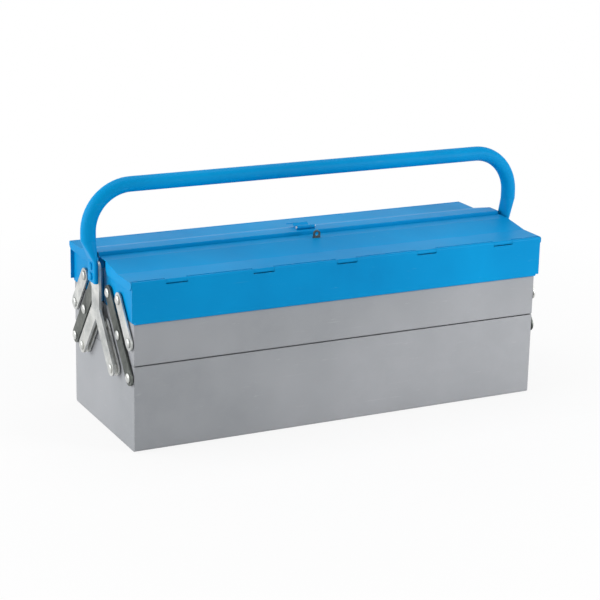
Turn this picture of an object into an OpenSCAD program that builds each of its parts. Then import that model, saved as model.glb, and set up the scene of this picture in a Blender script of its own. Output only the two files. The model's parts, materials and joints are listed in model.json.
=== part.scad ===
// Cantilever tool box: a folded steel base, two grey trays and two blue trays that
// swing apart on flat arms, a hinged lid over each blue tray and one fixed tube handle.
// X runs along the box, the front is -Y, Z is up. The origin is the bottom centre.

/* [Base] */
// Length over the end walls of the base
base_l = 530; // [430:10:560]
// Depth over the front and rear walls of the base
base_w = 192; // [188:1:200]
// Height of the base up to its rolled rim
base_h = 101.6; // [101:0.1:101.8]
// Thickness of the folded sheet
sheet = 1; // [0.8:0.1:1]
// Outer radius of the long folds under each tray
fold_r = 3; // [2.5:0.5:4]
// Depth of the flattened hem along each rim
hem_d = 8; // [5:1:8]

/* [Trays] */
// Height of a grey middle tray
mid_h = 49.6; // [49:0.1:49.6]
// Height of the end walls of a blue top tray
top_h = 48.8; // [48:0.1:48.8]
// How far the front wall of a top tray runs past its end walls
lip = 4; // [3:0.5:4]
// How far a top tray stands out past the base in front
top_over_y = 4; // [2:0.5:4]
// Vertical gap between a rim and the tray above it
stack_gap = 0.4; // [0.3:0.1:0.6]
// Depth of the welding flanges on the end walls
flange_d = 10; // [6:1:12]
// Height of the dividers
divider_h = 38; // [25:1:38]
// Place of the divider in a middle tray along the box
mid_divider_x = 40; // [-100:5:100]
// Places of the dividers in a top tray along the box
top_divider_x = [-92, 88]; // [-200:1:200]

/* [Arms] */
// Width of a flat arm
arm_w = 18; // [14:0.5:18]
// Thickness of a flat arm
arm_t = 2; // [1.5:0.5:2]
// How far the lowest pivots sit below the rim of the base
pivot_drop = 14.6; // [13.6:0.2:17.6]
// Sideways step from one pivot of an arm to the next
step_y = 32; // [28:1:32]
// Upward step from one pivot of an arm to the next
step_z = 41.5; // [40:0.5:42]
// Distance of the outer pivots from the middle of the box
outer_y = 87; // [84:1:88]
// Distance of the inner pivots from the middle of the box
inner_y = 47; // [46:1:50]
// Radius of a pivot shank
shank_r = 3; // [2.5:0.1:3]
// Radial clearance of an arm on its shank
pivot_gap = 0.05; // [0.03:0.01:0.08]

/* [Lids] */
// Height of the flat outer strip of a lid above the end walls of its tray
lid_gap = 1.2; // [1.1:0.1:1.6]
// Height of the ridge on the front lid above its flat strip
front_rise = 6; // [5:0.5:7]
// Height of the ridge on the rear lid above its flat strip
rear_rise = 10; // [10:0.5:11]
// Width of the flat outer strip
strip_w = 39.5; // [34:0.5:42]
// Width of the flat ridge
ridge_w = 21; // [18:0.5:24]
// How far the end skirts of a lid reach down
skirt_d = 10; // [8:1:11]
// Number of hinge knuckles rolled from a lid
knuckles = 5; // [3:1:7]
// Length of a knuckle rolled from a lid
knuckle_l = 26; // [18:1:40]
// Outer radius of a rolled knuckle
knuckle_r = 2.6; // [2.6:0.1:2.8]
// Radius of the hinge wire
wire_r = 1.2; // [1:0.1:1.2]
// Radial clearance of a knuckle on its wire
wire_gap = 0.08; // [0.05:0.01:0.1]

/* [Handle] */
// Height of the top of the handle above the lids
handle_rise = 96.5; // [90:0.5:115]
// Outside diameter of the handle tube
tube_d = 18; // [16:1:18]
// Wall of the handle tube
tube_wall = 1.5; // [1:0.1:1.5]
// Centreline radius of the two bends
bend_r = 52; // [40:1:60]
// How far the middle of the handle tube stands outside its brackets
tube_out = 8; // [7:0.5:12]
// Width of the stem of the handle bracket
bracket_w = 24; // [22:1:26]
// Width of the two legs of the handle bracket
leg_w = 18; // [15:1:20]
// Thickness of the handle bracket
bracket_t = 3; // [2:0.5:3]

/* [Lock] */
// Width of the padlock eye
eye_w = 9; // [9:0.5:11]
// Radius of the padlock hole
eye_hole_r = 2.6; // [2.4:0.05:2.6]
// Width of the hasp strap
hasp_w = 20; // [18:1:22]
// Length of the hasp strap from its hinge
hasp_l = 37; // [36:1:38]

/* [Hidden] */
$fn = 48;

eps = 0.01;
past = 1;
blue = "dodgerblue";
grey = "silver";
zinc = "gainsboro";
steel = "dimgray";

base_x = base_l / 2;
lip_x = base_x + lip;
lid_gap_x = 0.2;
skirt_in_x = lip_x + lid_gap_x;
lid_x = skirt_in_x + sheet;
mid_z = base_h + stack_gap;
top_z = mid_z + mid_h + stack_gap;
lid_z = top_z + top_h + lid_gap;
front_ridge_z = lid_z + front_rise;
rear_ridge_z = lid_z + rear_rise;

// Both trays of a side end just short of the middle of the box.
mid_gap_y = 1;
top_gap_y = 2;
mid_w = base_w / 2 - mid_gap_y;
mid_y = mid_gap_y + mid_w / 2;
top_out_y = base_w / 2 + top_over_y;
top_w = top_out_y - top_gap_y;
top_y = top_gap_y + top_w / 2;
divider_foot = 9;
divider_fold = 6;
end_fold_gap = 0.5;

// Arms lie in one plane between the end walls and the handle brackets.
pivot_z = base_h - pivot_drop;
arm_stand_off = 1.7;
shoulder_play = 0.1;
head_play = 0.2;
leg_play = 1.1;
shoulder_r = 5;
head_r = 5.5;
head_t = 2;
head_rim = 1.2;
head_bevel = 1.6;
tail_t = 1.5;
arm_in_x = base_x + arm_stand_off;
arm_out_x = arm_in_x + arm_t;
shoulder_x = arm_in_x - shoulder_play;
head_x = arm_out_x + head_play;
hole_r = shank_r + pivot_gap;

// Pivot places on a side, as distance from the middle and height.
long_low = [outer_y, pivot_z];
long_mid = [outer_y - step_y, pivot_z + step_z];
long_top = [outer_y - 2 * step_y, pivot_z + 2 * step_z];
lower_low = [inner_y, pivot_z];
lower_top = [inner_y - step_y, pivot_z + step_z];
upper_low = [outer_y, pivot_z + step_z];
upper_top = [outer_y - step_y, pivot_z + 2 * step_z];

// Lid hinge line.
hinge_y = top_out_y - knuckle_r;
hinge_z = lid_z - knuckle_r;
notch_gap = 0.2;
knuckle_pitch = 2 * lip_x / knuckles;
lid_in_y = 0.75;
lid_nose_r = 1;
lid_flange = 8;
flange_z = lid_z - lid_flange;
corner = 4;
skirt_ridge_gap = 1;
skirt_stop = ridge_w + skirt_ridge_gap;
// The trough of a top tray stops short of its rim, and its inner wall is carried up to it.
trough_drop = 4;
inner_wall_lap = 10;

// Handle and bracket layers.
bracket_in_x = head_x + head_t + leg_play;
bracket_out_x = bracket_in_x + bracket_t;
flat_gap = 0.1;
flat_t = 5;
flat_w = 24;
foot_drop = 24;
foot_rise = 2;
blend_h = 24;
blend_slice = 0.5;
blend_sink = 0.1;
flat_z0 = lid_z - foot_drop;
flat_z1 = lid_z + foot_rise;
round_z = flat_z1 + blend_h;
stem_drop = 1;
stem_top = flat_z1 - stem_drop;
stem_r = 5;
stem_lap = 6;
handle_rivet_drops = [17, 5];
handle_rivet_z = [for (drop = handle_rivet_drops) lid_z - drop];
rivet_tail_r = 4.5;
rivet_tail_t = 1;
rivet_r = 2.5;
tube_x = bracket_out_x + tube_out;
bar_z = lid_z + handle_rise - tube_d / 2;

// Hasp hinge on the rear ridge.
hasp_t = 1.2;
hasp_knuckle_r = 2.2;
hasp_pin_r = 1;
pin_head_r = 1.8;
pin_head_t = 0.8;
hasp_lift = 0.3;
hasp_fold = 195;
hasp_y = 10;
hasp_z = rear_ridge_z + hasp_lift + hasp_knuckle_r;
hasp_half = 12;
hasp_mid = 5.8;
hasp_side_gap = 0.4;
strap_gap = 0.6;
leaf_d = 7;
jog_y = 11.3;
jog_set = 0.5;
tip_r = 4;
hasp_drop = rear_ridge_z - front_ridge_z - hasp_lift;
eye_y = -20;
eye_t = 2;
eye_hole_rise = 5;
eye_hole_z = front_ridge_z + eye_hole_rise;
eye_top_r = eye_w / 2;
eye_foot = 3.5;
eye_foot_t = 1.2;
slot_half = 3.5;
slot_gap = 1.5;

// Stands a Y-Z drawing up and extrudes it along X, centred on the middle.
module along_x(len) {
  rotate([90, 0, 90])
    linear_extrude(height = len, center = true)
      children();
}

// Stands a Y-Z drawing up and extrudes it outwards from a given X.
module from_x(x, len) {
  translate([x, 0, 0])
    rotate([90, 0, 90])
      linear_extrude(height = len)
        children();
}

// A cylinder along X between two X values.
module rod_x(x0, x1, r, y, z) {
  translate([x0, y, z])
    rotate([0, 90, 0])
      cylinder(h = x1 - x0, r = r);
}

// Section of a tray trough: flat top, both lower corners rounded.
module trough(w, h, r) {
  translate([-w / 2, r])
    square([w, h - r]);
  translate([-w / 2 + r, 0])
    square([w - 2 * r, h]);
  translate([-w / 2 + r, r])
    circle(r);
  translate([w / 2 - r, r])
    circle(r);
}

// Upper half of the round fold on top of a hemmed edge.
module hem_roll(r) {
  intersection() {
    circle(r);
    translate([-r, 0])
      square([2 * r, r]);
  }
}

// Front wall, floor and rear wall of a tray, folded from one sheet.
module tray_wrap(x, w, h) {
  along_x(2 * x)
    difference() {
      trough(w, h - sheet, fold_r);
      translate([0, sheet])
        trough(w - 2 * sheet, h, fold_r - sheet);
    }
}

// Rolled rim along one long wall, with its hem kept clear of the end flanges.
module wrap_rim(x, w, h, side) {
  y = side * (w / 2 - sheet);
  along_x(2 * x)
    translate([y, h - sheet])
      hem_roll(sheet);
  along_x(2 * (x - flange_d - 1))
    translate([side > 0 ? y - sheet : y, h - hem_d])
      square([sheet, hem_d - sheet]);
}

// End wall of a tray at +X: a plate with welding flanges and a hemmed top.
module tray_end(x, w, h) {
  inner_w = w - 2 * sheet;
  r = fold_r - sheet + end_fold_gap;
  translate([0, 0, sheet]) {
    from_x(x - sheet, sheet)
      trough(inner_w, h - 2 * sheet, r);
    from_x(x - flange_d, flange_d - sheet)
      difference() {
        trough(inner_w, h - 2 * sheet, r);
        translate([0, sheet])
          trough(inner_w - 2 * sheet, h, r - sheet);
      }
  }
  translate([x - sheet, 0, h - sheet])
    rotate([90, 0, 0])
      linear_extrude(height = inner_w - 2 * sheet, center = true)
        hem_roll(sheet);
  translate([x - 2 * sheet, -inner_w / 2 + sheet, h - hem_d])
    cube([sheet, inner_w - 2 * sheet, hem_d - sheet]);
}

// Divider plate: a foot on the tray floor and a folded top edge.
module divider(x, w) {
  inner_w = w - 2 * sheet;
  translate([x, 0, sheet]) {
    from_x(0, sheet)
      trough(inner_w, divider_h, fold_r);
    translate([sheet, -inner_w / 2 + fold_r, 0])
      cube([divider_foot, inner_w - 2 * fold_r, sheet]);
    translate([sheet, -inner_w / 2 + fold_r, divider_h - divider_fold])
      cube([sheet, inner_w - 2 * fold_r, divider_fold]);
  }
}

// Flat arm between two pivots, with a true hole at each pivot. It is drawn lying
// along Y and then turned to its slope.
module arm(low, reach, holes) {
  dy = holes * reach[0];
  dz = holes * reach[1];
  len = sqrt(dy * dy + dz * dz);
  translate([0, low[0], low[1]])
    rotate([atan2(dz, dy), 0, 0])
      from_x(arm_in_x, arm_t)
        difference() {
          union() {
            circle(arm_w / 2);
            translate([len, 0])
              circle(arm_w / 2);
            translate([0, -arm_w / 2])
              square([len, arm_w]);
          }
          for (i = [0:holes])
            translate([i * len / holes, 0])
              circle(hole_r);
        }
}

// Domed rivet head on a face at x.
module rivet_head(x, r, y, z) {
  rod_x(x, x + head_rim, r, y, z);
  translate([x + head_rim, y, z])
    rotate([0, 90, 0])
      cylinder(h = head_t - head_rim, r1 = r, r2 = r - head_bevel);
}

// Shouldered rivet through an end wall, with an arm on its neck.
module pivot_rivet(p) {
  rod_x(base_x - sheet - tail_t, base_x - sheet, shoulder_r, p[0], p[1]);
  rod_x(base_x - sheet - eps, base_x + eps, shank_r, p[0], p[1]);
  rod_x(base_x, shoulder_x, shoulder_r, p[0], p[1]);
  rod_x(shoulder_x - eps, head_x + eps, shank_r, p[0], p[1]);
  rivet_head(head_x, head_r, p[0], p[1]);
}

// Longer rivet that carries an arm and, outside it, a leg of the handle bracket.
module leg_rivet(p) {
  rod_x(base_x - sheet - tail_t, base_x - sheet, shoulder_r, p[0], p[1]);
  rod_x(base_x - sheet - eps, base_x + eps, shank_r, p[0], p[1]);
  rod_x(base_x, shoulder_x, shoulder_r, p[0], p[1]);
  rod_x(shoulder_x - eps, head_x + eps, shank_r, p[0], p[1]);
  rod_x(head_x, bracket_in_x, shoulder_r, p[0], p[1]);
  rod_x(bracket_in_x - eps, bracket_out_x + eps, shank_r, p[0], p[1]);
  rivet_head(bracket_out_x, head_r, p[0], p[1]);
}

// Holes for a set of pivots through an end wall.
module pivot_holes(pivots) {
  for (p = pivots)
    rod_x(base_x - sheet - past, base_x + past, hole_r, p[0], p[1]);
}

// Copies of a +X piece at both ends.
module both_ends() {
  children();
  mirror([1, 0, 0])
    children();
}

// Base
module base_shell() {
  color(grey) {
    tray_wrap(base_x, base_w, base_h);
    wrap_rim(base_x, base_w, base_h, 1);
    wrap_rim(base_x, base_w, base_h, -1);
  }
}

module base_end() {
  color(grey)
    difference() {
      tray_end(base_x, base_w, base_h);
      for (side = [-1, 1])
        pivot_holes([[side * long_low[0], pivot_z], [side * lower_low[0], pivot_z]]);
    }
}

module base_pivot_rivets() {
  color(zinc)
    both_ends()
      for (side = [-1, 1]) {
        pivot_rivet([side * long_low[0], pivot_z]);
        leg_rivet([side * lower_low[0], pivot_z]);
      }
}

// Handle: one tube, bent twice, its ends flattened against the brackets.
module flat_end_outline(t, w) {
  translate([-t / 2, -w / 2 + t / 2])
    square([t, w - t]);
  translate([0, -w / 2 + t / 2])
    circle(t / 2);
  translate([0, w / 2 - t / 2])
    circle(t / 2);
}

module handle_leg(wall_out) {
  r = tube_d / 2 - wall_out;
  flat_x = bracket_out_x + flat_gap + flat_t / 2;
  t = flat_t - 2 * wall_out;
  w = flat_w - 2 * wall_out;
  over = wall_out > 0 ? past : 0;
  // The blend ends inside the wall of the two plain lengths that it joins.
  grow = wall_out > 0 ? blend_sink : -blend_sink;
  translate([flat_x, 0, flat_z0 - over])
    linear_extrude(height = flat_z1 - flat_z0 + over)
      flat_end_outline(t, w);
  hull() {
    translate([flat_x, 0, flat_z1 - blend_slice])
      linear_extrude(height = blend_slice)
        flat_end_outline(t + 2 * grow, w + 2 * grow, $fn = 16);
    translate([tube_x, 0, round_z])
      cylinder(h = blend_slice, r = r + grow, $fn = 24);
  }
  translate([tube_x, 0, round_z])
    cylinder(h = bar_z - bend_r - round_z, r = r);
  translate([tube_x - bend_r, 0, bar_z - bend_r])
    rotate([90, 0, 0])
      rotate_extrude(angle = 90)
        translate([bend_r, 0])
          circle(r);
}

module handle_solid(wall_out) {
  both_ends()
    handle_leg(wall_out);
  rod_x(-tube_x + bend_r, tube_x - bend_r, tube_d / 2 - wall_out, 0, bar_z);
}

module handle() {
  color(blue)
    difference() {
      handle_solid(0);
      handle_solid(tube_wall);
      for (z = handle_rivet_z)
        both_ends()
          rod_x(bracket_in_x, tube_x, rivet_r + pivot_gap, 0, z);
    }
}

// Handle bracket: a stem behind the handle that splits into two legs, one to each
// inner pivot of the base. Both legs run parallel to the closed arms.
module leg() {
  run = lower_low[0];
  rise = run * step_z / step_y;
  len = sqrt(run * run + rise * rise);
  from_x(bracket_in_x, bracket_t) {
    circle(leg_w / 2);
    translate([0, -leg_w / 2])
      square([len, leg_w]);
  }
}

module bracket_end() {
  apex_z = pivot_z + lower_low[0] * step_z / step_y;
  lean = atan2(step_z, step_y);
  color(zinc)
    difference() {
      union() {
        for (side = [0, 1])
          mirror([0, side, 0])
            translate([0, -lower_low[0], pivot_z])
              rotate([lean, 0, 0])
                leg();
        from_x(bracket_in_x, bracket_t) {
          translate([-bracket_w / 2, apex_z - stem_lap])
            square([bracket_w, stem_top - stem_r - apex_z + stem_lap]);
          translate([-bracket_w / 2 + stem_r, apex_z - stem_lap])
            square([bracket_w - 2 * stem_r, stem_top - apex_z + stem_lap]);
          for (y = [-1, 1])
            translate([y * (bracket_w / 2 - stem_r), stem_top - stem_r])
              circle(stem_r);
        }
      }
      for (side = [-1, 1])
        rod_x(bracket_in_x - past, bracket_out_x + past, hole_r, side * lower_low[0], pivot_z);
      for (z = handle_rivet_z)
        rod_x(bracket_in_x - past, bracket_out_x + past, rivet_r + pivot_gap, 0, z);
    }
}

// Plain rivet with a flat tail and a domed head.
module rivet(x0, x1, z) {
  rod_x(x0 - rivet_tail_t, x0, rivet_tail_r, 0, z);
  rod_x(x0 - eps, x1 + eps, rivet_r, 0, z);
  rivet_head(x1, rivet_tail_r, 0, z);
}

module handle_rivets() {
  color(blue)
    both_ends()
      for (z = handle_rivet_z)
        rivet(bracket_in_x, bracket_out_x + flat_gap + flat_t, z);
}

// Arms, drawn on the front side at +X
function at_front(p) = [-p[0], p[1]];

module long_arm() {
  color(steel)
    arm(at_front(long_low), [step_y, step_z], 2);
}

module lower_arm() {
  color(zinc)
    arm(at_front(lower_low), [step_y, step_z], 1);
}

module upper_arm() {
  color(zinc)
    arm(at_front(upper_low), [step_y, step_z], 1);
}

// Middle tray, front side
module mid_shell() {
  color(grey)
    translate([0, -mid_y, mid_z]) {
      tray_wrap(base_x, mid_w, mid_h);
      wrap_rim(base_x, mid_w, mid_h, 1);
      wrap_rim(base_x, mid_w, mid_h, -1);
    }
}

module mid_end() {
  color(grey)
    difference() {
      translate([0, -mid_y, mid_z])
        tray_end(base_x, mid_w, mid_h);
      pivot_holes([at_front(long_mid), at_front(lower_top), at_front(upper_low)]);
    }
}

module mid_divider() {
  color(grey)
    translate([0, -mid_y, mid_z])
      divider(mid_divider_x, mid_w);
}

module mid_rivets() {
  color(zinc)
    both_ends()
      for (p = [long_mid, lower_top, upper_low])
        pivot_rivet(at_front(p));
}

// The lid rolls into short knuckles, the tray into the long ones between them.
function knuckle_mid(i) = -lip_x + (i + 0.5) * knuckle_pitch;

module lid_knuckles() {
  for (i = [0:knuckles - 1])
    rod_x(knuckle_mid(i) - knuckle_l / 2, knuckle_mid(i) + knuckle_l / 2, knuckle_r, -hinge_y,
          hinge_z);
}

// Room for the lid knuckles in the tray wall.
module lid_knuckle_space() {
  for (i = [0:knuckles - 1])
    translate([knuckle_mid(i) - knuckle_l / 2 - notch_gap, -top_out_y - past,
               hinge_z - knuckle_r - notch_gap])
      cube([knuckle_l + 2 * notch_gap, 2 * (knuckle_r + past), 2 * (knuckle_r + past)]);
}

// Room for the tray knuckles in the lid strip, between the end skirts.
module tray_knuckle_space() {
  for (i = [0:knuckles]) {
    x0 = i == 0 ? -skirt_in_x : knuckle_mid(i - 1) + knuckle_l / 2;
    x1 = i == knuckles ? skirt_in_x : knuckle_mid(i) - knuckle_l / 2;
    translate([x0, -top_out_y - past, hinge_z - knuckle_r - past])
      cube([x1 - x0, 2 * knuckle_r + past + notch_gap, 2 * (knuckle_r + past)]);
  }
}

module hinge_bore() {
  rod_x(-skirt_in_x, skirt_in_x, wire_r + wire_gap, -hinge_y, hinge_z);
}

// Top tray, front side: its outer wall runs past the ends and up into the knuckles.
module top_shell() {
  color(blue)
    difference() {
      union() {
        translate([0, -top_y, top_z]) {
          tray_wrap(base_x, top_w, top_h - trough_drop);
          wrap_rim(base_x, top_w, top_h, 1);
          along_x(2 * base_x)
            translate([top_w / 2 - sheet, top_h - inner_wall_lap])
              square([sheet, inner_wall_lap - sheet]);
        }
        translate([-lip_x, -top_out_y, top_z + fold_r])
          cube([2 * lip_x, sheet, hinge_z - top_z - fold_r]);
        rod_x(-lip_x, lip_x, knuckle_r, -hinge_y, hinge_z);
      }
      lid_knuckle_space();
      hinge_bore();
    }
}

module top_end() {
  color(blue)
    difference() {
      translate([0, -top_y, top_z])
        tray_end(base_x, top_w, top_h);
      pivot_holes([at_front(long_top), at_front(upper_top)]);
      translate([base_x - flange_d - past, -top_out_y - past, hinge_z - knuckle_r - notch_gap])
        cube([flange_d + 2 * past, 2 * (knuckle_r + past) + notch_gap, top_h]);
    }
}

module top_dividers() {
  color(blue)
    translate([0, -top_y, top_z]) {
      for (x = top_divider_x)
        divider(x, top_w);
    }
}

module top_rivets() {
  color(zinc)
    both_ends()
      for (p = [long_top, upper_top])
        pivot_rivet(at_front(p));
}

module hinge_wire() {
  color(zinc)
    rod_x(-lip_x, lip_x, wire_r, -hinge_y, hinge_z);
}

// Lid, drawn on the front side, with its ridge at a given height.
module lid_section(ridge_z, out_y) {
  difference() {
    polygon([
      [-out_y, lid_z], [-top_out_y + strip_w, lid_z], [-ridge_w, ridge_z], [-lid_in_y, ridge_z],
      [-lid_in_y, flange_z], [-lid_in_y - sheet, flange_z], [-lid_in_y - sheet, ridge_z - sheet],
      [-ridge_w, ridge_z - sheet], [-top_out_y + strip_w, lid_z - sheet], [-out_y, lid_z - sheet]
    ]);
    translate([-lid_in_y - lid_nose_r, ridge_z - lid_nose_r])
      difference() {
        square(2 * lid_nose_r);
        circle(lid_nose_r);
      }
  }
}

// End skirt, rounded over the end of the hinge and open under the ridge.
module lid_skirt(ridge_z) {
  translate([-hinge_y, hinge_z])
    circle(knuckle_r);
  polygon([
    [-top_out_y, hinge_z], [-hinge_y, hinge_z], [-hinge_y, lid_z], [-top_out_y + strip_w, lid_z],
    [-ridge_w, ridge_z], [-skirt_stop, lid_z - skirt_d + corner],
    [-skirt_stop - corner, lid_z - skirt_d], [-top_out_y + corner, lid_z - skirt_d],
    [-top_out_y, lid_z - skirt_d + corner]
  ]);
}

module lid(ridge_z) {
  color(blue)
    difference() {
      union() {
        along_x(2 * lid_x)
          lid_section(ridge_z, hinge_y);
        both_ends()
          from_x(skirt_in_x, sheet)
            lid_skirt(ridge_z);
        lid_knuckles();
      }
      tray_knuckle_space();
      hinge_bore();
    }
}

// Padlock eye: a foot on the front ridge and a round-topped ear with a drilled hole.
module padlock_eye() {
  color(steel)
    difference() {
      union() {
        translate([-eye_w / 2, eye_y - eye_t / 2, front_ridge_z])
          cube([eye_w, eye_t, eye_hole_z - front_ridge_z]);
        translate([-eye_w / 2, eye_y - eye_t / 2, front_ridge_z])
          cube([eye_w, eye_foot, eye_foot_t]);
        translate([0, eye_y + eye_t / 2, eye_hole_z])
          rotate([90, 0, 0])
            cylinder(h = eye_t, r = eye_top_r);
      }
      translate([0, eye_y + eye_t, eye_hole_z])
        rotate([90, 0, 0])
          cylinder(h = 2 * eye_t, r = eye_hole_r);
    }
}

// Hasp hinge: two leaf knuckles on the rear ridge, one strap knuckle between them.
module hasp_leaf() {
  mid_space = hasp_mid + hasp_side_gap;
  color(blue)
    difference() {
      union() {
        translate([-hasp_half, hasp_y, rear_ridge_z])
          cube([2 * hasp_half, leaf_d, hasp_t]);
        rod_x(-hasp_half, -mid_space, hasp_knuckle_r, hasp_y, hasp_z);
        rod_x(mid_space, hasp_half, hasp_knuckle_r, hasp_y, hasp_z);
      }
      translate([-mid_space, hasp_y - past, rear_ridge_z - past])
        cube([2 * mid_space, past + hasp_knuckle_r + hasp_side_gap, hasp_t + 2 * past]);
      rod_x(-hasp_half - past, hasp_half + past, hasp_pin_r + wire_gap, hasp_y, hasp_z);
    }
}

module hasp_pin() {
  color(zinc) {
    rod_x(-hasp_half, hasp_half, hasp_pin_r, hasp_y, hasp_z);
    rod_x(hasp_half, hasp_half + pin_head_t, pin_head_r, hasp_y, hasp_z);
    rod_x(-hasp_half - pin_head_t, -hasp_half, pin_head_r, hasp_y, hasp_z);
  }
}

// Strap, drawn folded forward over the eye, then turned back to rest on the rear lid.
module hasp_plan() {
  neck = hasp_knuckle_r + strap_gap;
  translate([-hasp_mid, -neck - past])
    square([2 * hasp_mid, neck + past]);
  translate([-hasp_w / 2, -hasp_l + tip_r])
    square([hasp_w, hasp_l - tip_r - neck]);
  translate([-hasp_w / 2 + tip_r, -hasp_l])
    square([hasp_w - 2 * tip_r, tip_r + past]);
  for (side = [-1, 1])
    translate([side * (hasp_w / 2 - tip_r), -hasp_l + tip_r])
      circle(tip_r);
}

module hasp() {
  top = hasp_t - hasp_knuckle_r;
  low = top - hasp_drop;
  jog_end = jog_y + hasp_drop;
  reach = hasp_l + past;
  color(blue)
    translate([0, hasp_y, hasp_z])
      rotate([-hasp_fold, 0, 0])
        difference() {
          union() {
            rod_x(-hasp_mid, hasp_mid, hasp_knuckle_r, 0, 0);
            intersection() {
              along_x(2 * hasp_w)
                polygon([
                  [0, top], [-jog_y, top], [-jog_end, low], [-reach, low], [-reach, low - hasp_t],
                  [-jog_end - jog_set, low - hasp_t], [-jog_y - jog_set, top - hasp_t],
                  [0, top - hasp_t]
                ]);
              linear_extrude(height = 2 * hasp_w, center = true)
                hasp_plan();
            }
          }
          rod_x(-hasp_mid - past, hasp_mid + past, hasp_pin_r + wire_gap, 0, 0);
          translate([-eye_w / 2 - slot_gap, eye_y - hasp_y - slot_half, -hasp_w])
            cube([eye_w + 2 * slot_gap, 2 * slot_half, 2 * hasp_w]);
        }
}

// Copies a front piece to the rear, and a +X piece to the left end.
module rear() {
  mirror([0, 1, 0])
    children();
}

module left() {
  mirror([1, 0, 0])
    children();
}

base_shell();
left() base_end();  // base_end_left
base_end();  // base_end_right
base_pivot_rivets();
handle();
left() bracket_end();  // handle_bracket_left
bracket_end();  // handle_bracket_right
handle_rivets();
left() long_arm();  // front_long_arm_left
long_arm();  // front_long_arm_right
left() lower_arm();  // front_lower_arm_left
lower_arm();  // front_lower_arm_right
left() upper_arm();  // front_upper_arm_left
upper_arm();  // front_upper_arm_right
left() rear() long_arm();  // rear_long_arm_left
rear() long_arm();  // rear_long_arm_right
left() rear() lower_arm();  // rear_lower_arm_left
rear() lower_arm();  // rear_lower_arm_right
left() rear() upper_arm();  // rear_upper_arm_left
rear() upper_arm();  // rear_upper_arm_right
mid_shell();  // front_mid_shell
left() mid_end();  // front_mid_end_left
mid_end();  // front_mid_end_right
mid_divider();  // front_mid_divider
mid_rivets();  // front_mid_rivets
rear() mid_shell();  // rear_mid_shell
left() rear() mid_end();  // rear_mid_end_left
rear() mid_end();  // rear_mid_end_right
rear() mid_divider();  // rear_mid_divider
rear() mid_rivets();  // rear_mid_rivets
top_shell();  // front_top_shell
left() top_end();  // front_top_end_left
top_end();  // front_top_end_right
top_dividers();  // front_top_dividers
top_rivets();  // front_top_rivets
hinge_wire();  // front_hinge_wire
rear() top_shell();  // rear_top_shell
left() rear() top_end();  // rear_top_end_left
rear() top_end();  // rear_top_end_right
rear() top_dividers();  // rear_top_dividers
rear() top_rivets();  // rear_top_rivets
rear() hinge_wire();  // rear_hinge_wire
lid(front_ridge_z);  // front_lid
rear() lid(rear_ridge_z);  // rear_lid
padlock_eye();
hasp_leaf();
hasp_pin();
hasp();
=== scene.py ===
"""Cantilever tool box: stoved enamel and plated steel in a plain white studio.

All shapes are the frame's own, and this script adds materials, camera, lamps and floor.
Lengths are metres, angles degrees, lamp powers watts.
"""
import json
import math

import bpy
from mathutils import Matrix, Vector

# Picture: width and height of the frame, its principal point and the focal length.
FRAME_PX = 600
PRINCIPAL_PX = (340.8, 289.4)
FOCAL_PX = 1889
SENSOR_MM = 36

# Camera: its place, and how it is turned from looking along +Y.
CAMERA_PLACE = (-1.0052, -1.9761, 0.7879)
YAW = 28.0
PITCH = 16.32
ROLL = 1.6
CLIP_END = 50

# Lamps: name, place, the point it faces, width and height, power.
LAMPS = [
    ("key_right", (1.0, -1.1, 0.6), (0.3, -0.05, 0.1), (0.6, 0.6), 11.5),
    ("left_fill", (-1.9, 0.35, 0.7), (-0.26, 0, 0.1), (2.4, 1.2), 28),
    ("overhead", (0, 0.3, 1.8), (0, 0, 0.1), (1.6, 1.0), 11),
]

# World: how strongly it lights the box, and how strongly camera and gloss see it.
SKY_LIGHT = 0.36
SKY_SEEN = 1.0

# Floor: half its side, its drop under the box, its grey, and the share of plain white
# that camera and gloss see in it, near the box and past its shadow.
FLOOR_HALF = 6.0
FLOOR_DROP = 0.0005
FLOOR_GREY = 0.86
FLOOR_ROUGH = 0.9
GLOW_NEAR = 0.86
GLOW_FAR = 1.0
SHADOW_START = 0.35
SHADOW_END = 0.9

# Enamel: how strongly each trace shows, from 0 to 1.
MOTTLE = 0.30
SCUFF = 0.22
SCRATCH = 0.45
CHIP = 0.75
DULLING = 0.5

# Plated steel: how metallic it is, and how strongly drawing lines and the painted highlight on its
# edges show.
METALLIC = 0.85
DRAWN = 0.35
EDGE_HIGHLIGHT = 0.35

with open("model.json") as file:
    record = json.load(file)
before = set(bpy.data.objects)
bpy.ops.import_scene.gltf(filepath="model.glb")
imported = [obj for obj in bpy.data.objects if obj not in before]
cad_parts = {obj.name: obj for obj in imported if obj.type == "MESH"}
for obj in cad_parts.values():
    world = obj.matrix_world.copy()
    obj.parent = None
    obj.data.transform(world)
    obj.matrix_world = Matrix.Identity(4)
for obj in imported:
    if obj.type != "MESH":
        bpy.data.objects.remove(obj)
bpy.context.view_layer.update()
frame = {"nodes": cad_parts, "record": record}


def srgb(r, g, b):
    """A colour written as on a screen, from 0 to 255, as the shader wants it."""
    def lin(c):
        c = c / 255
        return c / 12.92 if c <= 0.04045 else ((c + 0.055) / 1.055) ** 2.4

    return (lin(r), lin(g), lin(b), 1.0)


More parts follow.
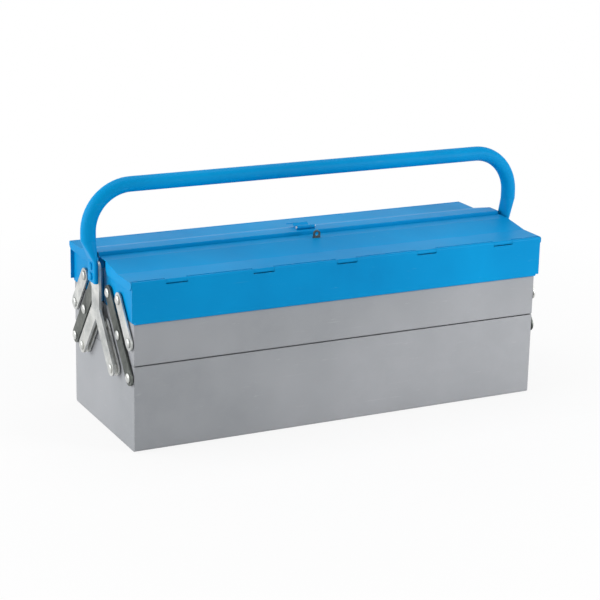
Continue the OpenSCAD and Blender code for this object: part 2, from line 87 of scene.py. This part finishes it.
class Tree:
    """A short way to build the node tree of one material."""

    def __init__(self, name):
        self.mat = bpy.data.materials.new(name)
        self.mat.use_nodes = True
        self.nt = self.mat.node_tree
        self.bsdf = self.nt.nodes["Principled BSDF"]
        self.coord = self.add("ShaderNodeTexCoord").outputs["Object"]

    def add(self, kind, inputs=None, **props):
        node = self.nt.nodes.new(kind)
        for key, value in props.items():
            setattr(node, key, value)
        for key, value in (inputs or {}).items():
            self.put(value, node.inputs[key])
        return node

    def put(self, value, socket):
        if isinstance(value, bpy.types.NodeSocket):
            self.nt.links.new(value, socket)
        else:
            socket.default_value = value

    def noise(self, scale, detail=2.0, rough=0.5, stretch=(1, 1, 1)):
        where = self.coord
        if stretch != (1, 1, 1):
            where = self.add("ShaderNodeMapping", {"Vector": where, "Scale": stretch}).outputs[0]
        node = self.add("ShaderNodeTexNoise",
                        {"Vector": where, "Scale": scale, "Detail": detail, "Roughness": rough})
        return node.outputs["Fac"]

    def ramp(self, value, low, high, to_low=0.0, to_high=1.0):
        node = self.add("ShaderNodeMapRange", {"Value": value, "From Min": low, "From Max": high,
                                               "To Min": to_low, "To Max": to_high})
        return node.outputs[0]

    def math(self, op, a, b=0.0):
        return self.add("ShaderNodeMath", {0: a, 1: b}, operation=op).outputs[0]

    def times(self, a, b):
        return self.math("MULTIPLY", a, b)

    def mix(self, fac, a, b):
        node = self.add("ShaderNodeMix", data_type="RGBA")
        self.put(fac, node.inputs["Factor"])
        self.put(a, node.inputs["A"])
        self.put(b, node.inputs["B"])
        return node.outputs["Result"]

    def bump(self, height, strength, distance, normal):
        node = self.add("ShaderNodeBump", {"Height": height, "Strength": strength,
                                           "Distance": distance, "Normal": normal})
        return node.outputs[0]

    def edges(self, radius):
        """The normal softened over a radius, and a mask: 1 on an edge, 0 on a flat face."""
        soft = self.add("ShaderNodeBevel", {"Radius": radius}, samples=4).outputs[0]
        true = self.add("ShaderNodeNewGeometry").outputs["Normal"]
        dot = self.add("ShaderNodeVectorMath", {0: soft, 1: true}, operation="DOT_PRODUCT")
        return soft, self.ramp(dot.outputs["Value"], 0.999, 0.90)


def enamel(name, base, light, dark, worn, rough, shine, peel):
    """Stoved enamel on sheet steel."""
    t = Tree(name)
    cloud = t.ramp(t.noise(5.0, detail=3.0), 0.35, 0.65)
    colour = t.mix(cloud, dark, light)
    mottle = t.ramp(t.noise(60.0, detail=4.0, rough=0.65), 0.40, 0.62)
    colour = t.mix(t.times(mottle, MOTTLE), colour, base)

    # Handling marks, lighter and duller than the enamel round them: soft scuffs, and
    # thin scratches along the box.
    scuff = t.ramp(t.noise(40.0, detail=6.0, rough=0.75, stretch=(1.0, 1.0, 7.0)), 0.62, 0.72)
    scratch = t.ramp(t.noise(300.0, stretch=(0.03, 1.0, 1.0)), 0.70, 0.76)
    patch = t.ramp(t.noise(14.0), 0.50, 0.62)
    marks = t.math("MAXIMUM", t.times(scuff, SCUFF), t.times(t.times(scratch, patch), SCRATCH))
    colour = t.mix(marks, colour, worn)

    # Small chips along the folds and cut edges.
    soft, edge = t.edges(0.0008)
    chip = t.ramp(t.noise(190.0, detail=5.0, rough=0.7), 0.53, 0.60)
    colour = t.mix(t.times(t.times(edge, chip), CHIP), colour, worn)
    t.put(colour, t.bsdf.inputs["Base Color"])

    haze = t.ramp(t.noise(9.0, detail=5.0, rough=0.6), 0.3, 0.7, rough - 0.05, rough + 0.07)
    haze = t.math("ADD", haze, t.times(marks, DULLING))
    t.put(haze, t.bsdf.inputs["Roughness"])

    # Fine orange peel over the slow waves of a pressed panel.
    skin = t.bump(t.noise(520.0), peel, 0.00012, soft)
    panel = t.bump(t.noise(11.0, detail=1.0), 0.07, 0.004, skin)
    t.put(panel, t.bsdf.inputs["Normal"])
    t.bsdf.inputs["Specular IOR Level"].default_value = shine
    return t.mat


def plated(name, light, dark, tint, rough):
    """Plated strip steel, drawn along the box's height; dark_steel is a darker copy of it that
    paints shade.
    """
    t = Tree(name)
    cloud = t.ramp(t.noise(35.0, detail=5.0, rough=0.7), 0.38, 0.62)
    colour = t.mix(cloud, dark, light)
    drawn = t.noise(90.0, detail=3.0, rough=0.6, stretch=(1.0, 1.0, 0.12))
    colour = t.mix(t.ramp(drawn, 0.55, 0.75, 0.0, DRAWN), colour, tint)
    # Painted highlight: the edges are made lighter, as if they caught the light.
    soft, edge = t.edges(0.0004)
    colour = t.mix(t.times(edge, EDGE_HIGHLIGHT), colour, light)
    t.put(colour, t.bsdf.inputs["Base Color"])
    t.bsdf.inputs["Metallic"].default_value = METALLIC
    haze = t.ramp(t.noise(80.0, detail=4.0, rough=0.7), 0.3, 0.7, rough - 0.08, rough + 0.12)
    t.put(haze, t.bsdf.inputs["Roughness"])
    t.put(t.bump(drawn, 0.10, 0.0002, soft), t.bsdf.inputs["Normal"])
    return t.mat


def floor_material():
    """Pale floor: camera and gloss see it near white, and it keeps a soft shadow."""
    t = Tree("floor_pale")
    t.bsdf.inputs["Base Color"].default_value = (FLOOR_GREY, FLOOR_GREY, FLOOR_GREY, 1)
    t.bsdf.inputs["Roughness"].default_value = FLOOR_ROUGH
    path = t.add("ShaderNodeLightPath").outputs
    seen = t.math("MAXIMUM", path["Is Camera Ray"], path["Is Glossy Ray"])
    away = t.add("ShaderNodeVectorMath", {0: t.coord}, operation="LENGTH").outputs["Value"]
    share = t.ramp(away, SHADOW_START, SHADOW_END, GLOW_NEAR, GLOW_FAR)
    glow = t.add("ShaderNodeEmission", {"Color": (1, 1, 1, 1), "Strength": 1.0})
    blend = t.add("ShaderNodeMixShader",
                  {0: t.times(seen, share), 1: t.bsdf.outputs[0], 2: glow.outputs[0]})
    t.put(blend.outputs[0], t.nt.nodes["Material Output"].inputs["Surface"])
    return t.mat


def add_object(name, data):
    obj = bpy.data.objects.new(name, data)
    bpy.context.scene.collection.objects.link(obj)
    return obj


def add_camera():
    yaw, pitch, roll = (math.radians(a) for a in (YAW, PITCH, ROLL))
    look = Vector((math.sin(yaw) * math.cos(pitch), math.cos(yaw) * math.cos(pitch),
                   -math.sin(pitch)))
    level = Vector((math.cos(yaw), -math.sin(yaw), 0))
    upright = level.cross(look)
    right = level * math.cos(roll) + upright * math.sin(roll)
    up = upright * math.cos(roll) - level * math.sin(roll)
    cam = add_object("camera", bpy.data.cameras.new("camera"))
    place = Matrix((right, up, -look)).transposed().to_4x4()
    place.translation = CAMERA_PLACE
    cam.matrix_world = place
    cam.data.sensor_width = SENSOR_MM
    cam.data.lens = FOCAL_PX / FRAME_PX * SENSOR_MM
    cam.data.shift_x = (FRAME_PX / 2 - PRINCIPAL_PX[0]) / FRAME_PX
    cam.data.shift_y = (PRINCIPAL_PX[1] - FRAME_PX / 2) / FRAME_PX
    cam.data.clip_end = CLIP_END
    bpy.context.scene.camera = cam


def add_lamp(name, where, aim, size, power):
    data = bpy.data.lights.new(name, "AREA")
    data.shape = "RECTANGLE"
    data.size, data.size_y = size
    data.energy = power
    lamp = add_object(name, data)
    lamp.location = where
    lamp.rotation_euler = (Vector(aim) - Vector(where)).to_track_quat("-Z", "Y").to_euler()


def add_floor():
    corners = [(x * FLOOR_HALF, y * FLOOR_HALF, 0) for x, y in ((-1, -1), (1, -1), (1, 1), (-1, 1))]
    mesh = bpy.data.meshes.new("floor")
    mesh.from_pydata(corners, [], [(0, 1, 2, 3)])
    mesh.materials.append(floor_material())
    floor = add_object("floor", mesh)
    floor.location.z = -FLOOR_DROP


def add_world():
    """White to camera and gloss, and a plain soft light on everything else."""
    world = bpy.data.worlds.new("world")
    bpy.context.scene.world = world
    world.use_nodes = True
    nodes = world.node_tree.nodes
    links = world.node_tree.links
    nodes.clear()
    path = nodes.new("ShaderNodeLightPath")
    seen = nodes.new("ShaderNodeMath")
    seen.operation = "MAXIMUM"
    links.new(path.outputs["Is Camera Ray"], seen.inputs[0])
    links.new(path.outputs["Is Glossy Ray"], seen.inputs[1])
    level = nodes.new("ShaderNodeMapRange")
    links.new(seen.outputs[0], level.inputs["Value"])
    level.inputs["To Min"].default_value = SKY_LIGHT
    level.inputs["To Max"].default_value = SKY_SEEN
    sky = nodes.new("ShaderNodeBackground")
    sky.inputs["Color"].default_value = (1, 1, 1, 1)
    links.new(level.outputs[0], sky.inputs["Strength"])
    out = nodes.new("ShaderNodeOutputWorld")
    links.new(sky.outputs[0], out.inputs["Surface"])


FINISH = {
    "blue_enamel": enamel("blue_enamel", base=srgb(0, 146, 208), light=srgb(0, 154, 217),
                          dark=srgb(0, 136, 198), worn=srgb(110, 176, 214),
                          rough=0.42, shine=0.06, peel=0.35),
    "grey_enamel": enamel("grey_enamel", base=srgb(160, 162, 166), light=srgb(168, 170, 174),
                          dark=srgb(151, 154, 158), worn=srgb(212, 212, 213),
                          rough=0.50, shine=0.28, peel=0.40),
    "zinc_plate": plated("zinc_plate", light=srgb(212, 213, 210), dark=srgb(168, 171, 170),
                         tint=srgb(190, 184, 166), rough=0.42),
    # dark_steel: the plated steel again in darker colours, painted shade on the long arms that sit
    # in the shade between the other arms.
    "dark_steel": plated("dark_steel", light=srgb(106, 110, 106), dark=srgb(64, 69, 66),
                         tint=srgb(132, 130, 118), rough=0.46),
}

slot_of = {part["node"]: part["material_slot"] for part in frame["record"]["subparts"]}
for name, obj in frame["nodes"].items():
    if not obj.material_slots:
        obj.data.materials.append(FINISH[slot_of[name]])
    for slot in obj.material_slots:
        slot.material = FINISH[slot_of[name]]

add_camera()
for lamp in LAMPS:
    add_lamp(*lamp)
add_floor()
add_world()
bpy.context.scene.view_settings.view_transform = "Standard"
